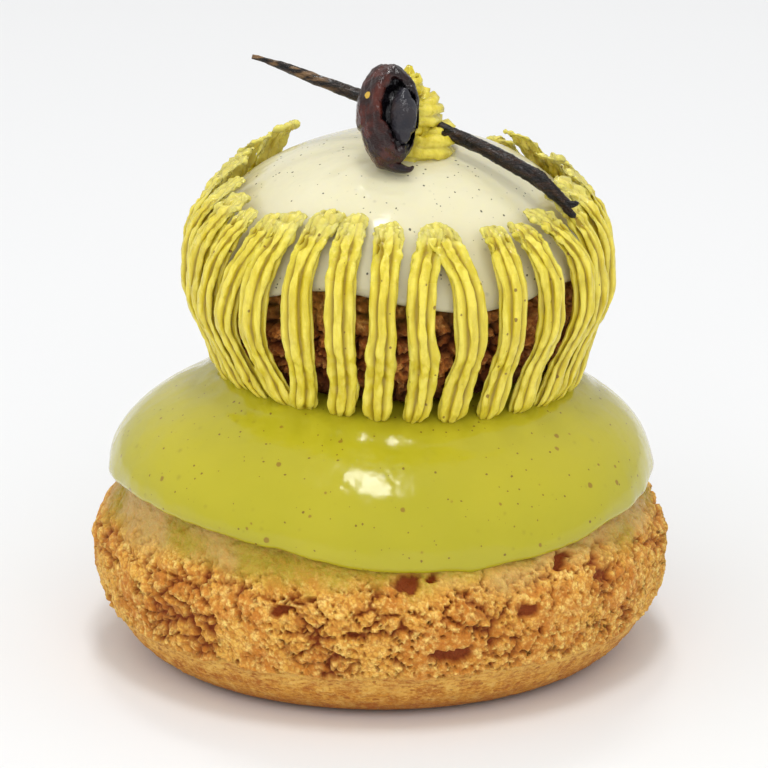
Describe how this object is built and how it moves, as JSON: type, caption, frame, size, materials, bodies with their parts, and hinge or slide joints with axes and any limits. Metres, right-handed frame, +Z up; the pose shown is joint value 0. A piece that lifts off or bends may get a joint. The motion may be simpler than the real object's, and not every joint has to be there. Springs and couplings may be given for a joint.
{
  "type": "religieuse choux pastry",
  "caption": "Tiered choux pastry: a small bun on a large one, both capped with fondant, with upright piped cream strips, a rosette, a candied fruit and a vanilla pod.",
  "frame": {"origin": "centre of the large bun's foot, on the surface the pastry stands on", "axes": "+Z up through the pastry, -Y towards its front, where the fruit leans, +X to the right seen from the front"},
  "size_m": [0.0694, 0.0698, 0.0745],
  "materials": {
    "choux_crust": "baked, crackled",
    "pistachio_fondant": "poured, glossy",
    "vanilla_fondant": "poured, glossy",
    "pistachio_buttercream": "piped, satin",
    "candied_fruit": "syrup-glazed",
    "vanilla_pod": "dried, satin"
  },
  "bodies": {
    "root": {"lower_bun": "choux_crust", "pistachio_fondant": "pistachio_fondant", "upper_bun": "choux_crust", "vanilla_fondant": "vanilla_fondant", "piped_strip_01": "pistachio_buttercream", "piped_strip_02": "pistachio_buttercream", "piped_strip_03": "pistachio_buttercream", "piped_strip_04": "pistachio_buttercream", "piped_strip_05": "pistachio_buttercream", "piped_strip_06": "pistachio_buttercream", "piped_strip_07": "pistachio_buttercream", "piped_strip_08": "pistachio_buttercream", "piped_strip_09": "pistachio_buttercream", "piped_strip_10": "pistachio_buttercream", "piped_strip_11": "pistachio_buttercream", "piped_strip_12": "pistachio_buttercream", "piped_strip_13": "pistachio_buttercream", "piped_strip_14": "pistachio_buttercream", "piped_strip_15": "pistachio_buttercream", "piped_strip_16": "pistachio_buttercream", "piped_strip_17": "pistachio_buttercream", "piped_strip_18": "pistachio_buttercream", "piped_strip_19": "pistachio_buttercream", "piped_strip_20": "pistachio_buttercream", "piped_strip_21": "pistachio_buttercream", "piped_strip_22": "pistachio_buttercream", "piped_strip_23": "pistachio_buttercream", "piped_strip_24": "pistachio_buttercream", "piped_strip_25": "pistachio_buttercream", "piped_strip_26": "pistachio_buttercream", "piped_strip_27": "pistachio_buttercream", "piped_strip_28": "pistachio_buttercream", "piped_strip_29": "pistachio_buttercream", "pistachio_rosette": "pistachio_buttercream", "candied_fruit": "candied_fruit", "vanilla_pod": "vanilla_pod"}
  },
  "joints": []
}
